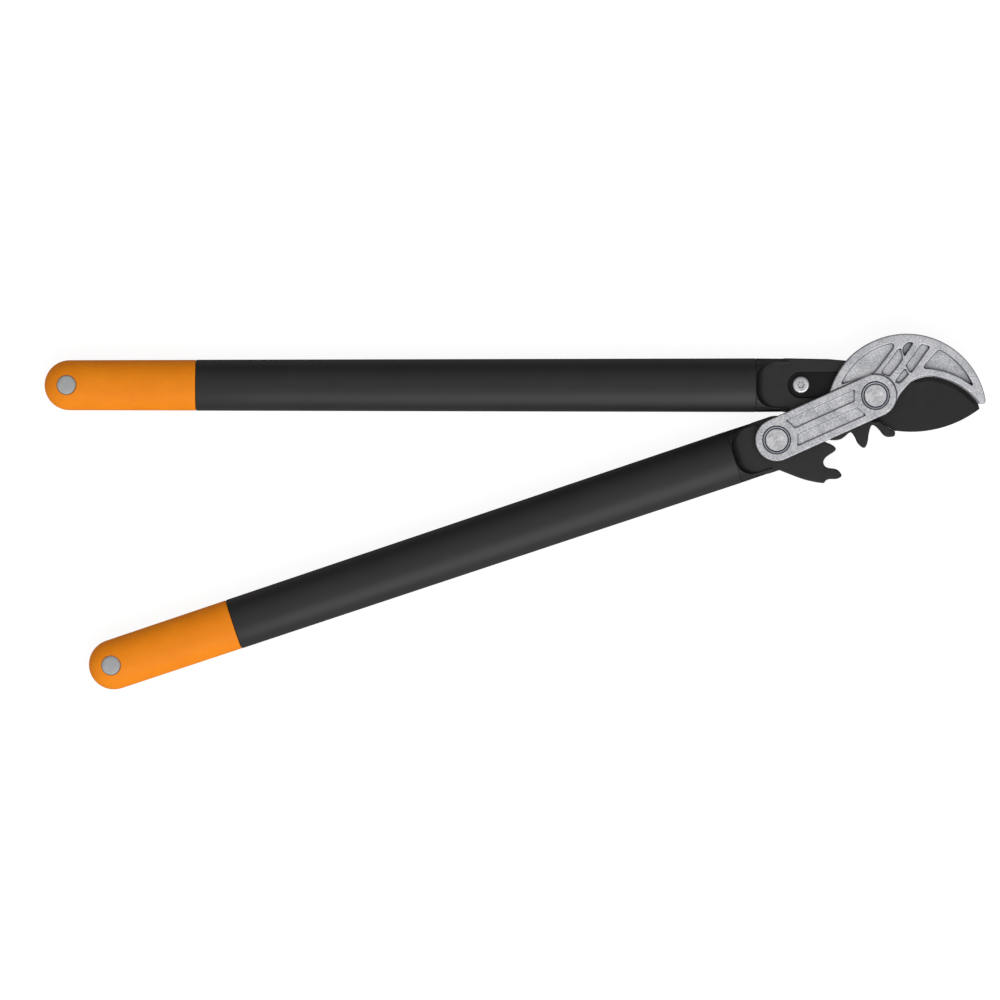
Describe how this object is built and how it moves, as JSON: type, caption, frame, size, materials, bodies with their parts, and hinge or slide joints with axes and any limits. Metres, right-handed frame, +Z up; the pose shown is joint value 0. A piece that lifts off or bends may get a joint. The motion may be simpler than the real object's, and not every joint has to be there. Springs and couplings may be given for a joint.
{
  "type": "anvil lopper",
  "caption": "Geared anvil lopper with two oval handles, orange grips, a coated blade closing on a cast crescent anvil, and link bars between the blade pivot and the gear pivot.",
  "frame": {"origin": "centre of the bounding box in X and Y, at the lowest level, where the tool lies on the floor", "axes": "+X along the upper handle towards the jaw, +Y across the tool on the upper handle's side, +Z up through the pivots"},
  "size_m": [0.6896, 0.2606, 0.027],
  "materials": {
    "black_tube": "smooth black fibre-filled tube, satin",
    "orange_grip": "orange moulded grip, fine matt grain",
    "grey_plug": "light grey moulded plug, matt",
    "black_nylon": "black glass-filled nylon, fine matt grain",
    "coated_blade": "steel blade with a dark low-friction coating",
    "cast_alloy": "light grey die-cast alloy with a fine cast skin",
    "turned_steel": "turned steel with fine round machining marks",
    "bush_polymer": "pale low-friction polymer"
  },
  "bodies": {
    "anvil_body": {"anvil": "cast_alloy", "link_front": "cast_alloy", "link_rear": "cast_alloy", "blade_pivot_pin": "turned_steel", "blade_pivot_nut": "turned_steel", "gear_pivot_pin": "turned_steel", "gear_pivot_nut": "turned_steel", "gear_bush_front": "bush_polymer", "gear_bush_rear": "bush_polymer", "pivot_washer_front": "bush_polymer", "pivot_washer_rear": "bush_polymer"},
    "blade_handle": {"upper_handle_tube": "black_tube", "upper_grip": "orange_grip", "upper_grip_plug": "grey_plug", "upper_gear_head": "black_nylon", "cutting_blade": "coated_blade", "tang_screw": "turned_steel", "tang_nut": "turned_steel"},
    "gear_handle": {"lower_handle_tube": "black_tube", "lower_grip": "orange_grip", "lower_grip_plug": "grey_plug", "lower_gear_head": "black_nylon"}
  },
  "joints": [
    {"name": "blade_pivot", "type": "hinge", "parent": "anvil_body", "child": "blade_handle", "pos_m": [0.26395, 0.08504, 0.0135], "axis": [0, 0, 1], "range_deg": [-55.2, 0]},
    {"name": "gear_pivot", "type": "hinge", "parent": "anvil_body", "child": "gear_handle", "pos_m": [0.19162, 0.05254, 0.0135], "axis": [0, 0, 1], "range_deg": [0, 48]}
  ],
  "couplings": [
    {"joint": "gear_pivot", "follows": "blade_pivot", "ratio": -0.86957}
  ]
}
